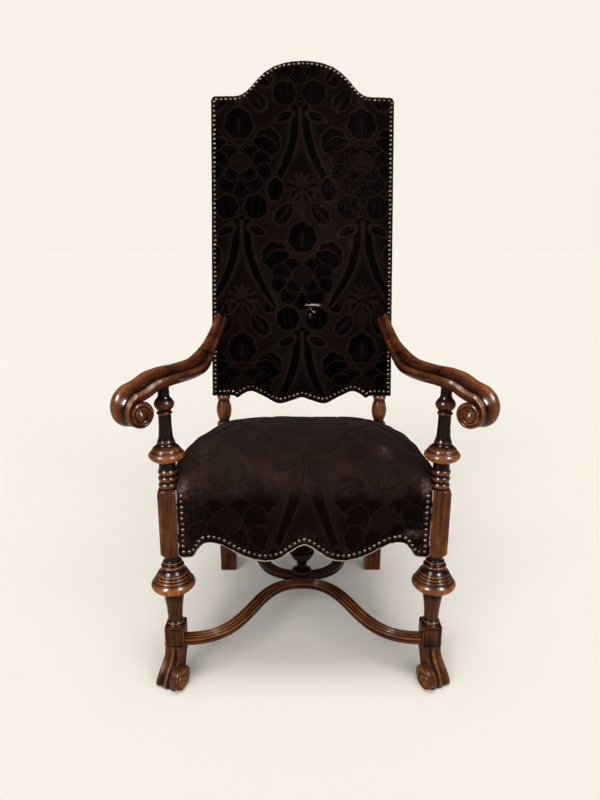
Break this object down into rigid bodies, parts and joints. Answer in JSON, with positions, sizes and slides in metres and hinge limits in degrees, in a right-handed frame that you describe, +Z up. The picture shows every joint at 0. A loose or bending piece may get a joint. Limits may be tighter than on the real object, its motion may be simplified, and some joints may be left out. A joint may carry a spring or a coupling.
{
  "type": "throne",
  "caption": "Tall-backed carved armchair throne with turned front legs on scroll feet, scroll arms, serpentine stretchers and stuffed velvet seat and back.",
  "frame": {"origin": "on the floor, in the middle of the overall width and depth", "axes": "+Z up, the sitter faces -Y, +X to the right in the picture"},
  "size_m": [0.7442, 0.7234, 1.4058],
  "materials": {
    "walnut": "old wax polish, dark in the hollows and worn orange-brown on the rounds",
    "arm_walnut": "glossy hand-worn polish",
    "dark_walnut": "near-black old polish",
    "seat_velvet": "worn purplish brown velvet with a traditional ogee pattern",
    "back_velvet": "near-black brown velvet with a traditional ogee pattern",
    "nail_brass": "antique brass, domed heads rubbed bright"
  },
  "bodies": {
    "root": {"front_leg_left": "walnut", "front_leg_right": "walnut", "rear_leg_left": "walnut", "rear_leg_right": "walnut", "arm_left": "arm_walnut", "arm_right": "arm_walnut", "stretcher_front": "walnut", "stretcher_rear": "dark_walnut", "stretcher_finial": "dark_walnut", "seat": "seat_velvet", "back": "back_velvet"}
  },
  "joints": []
}
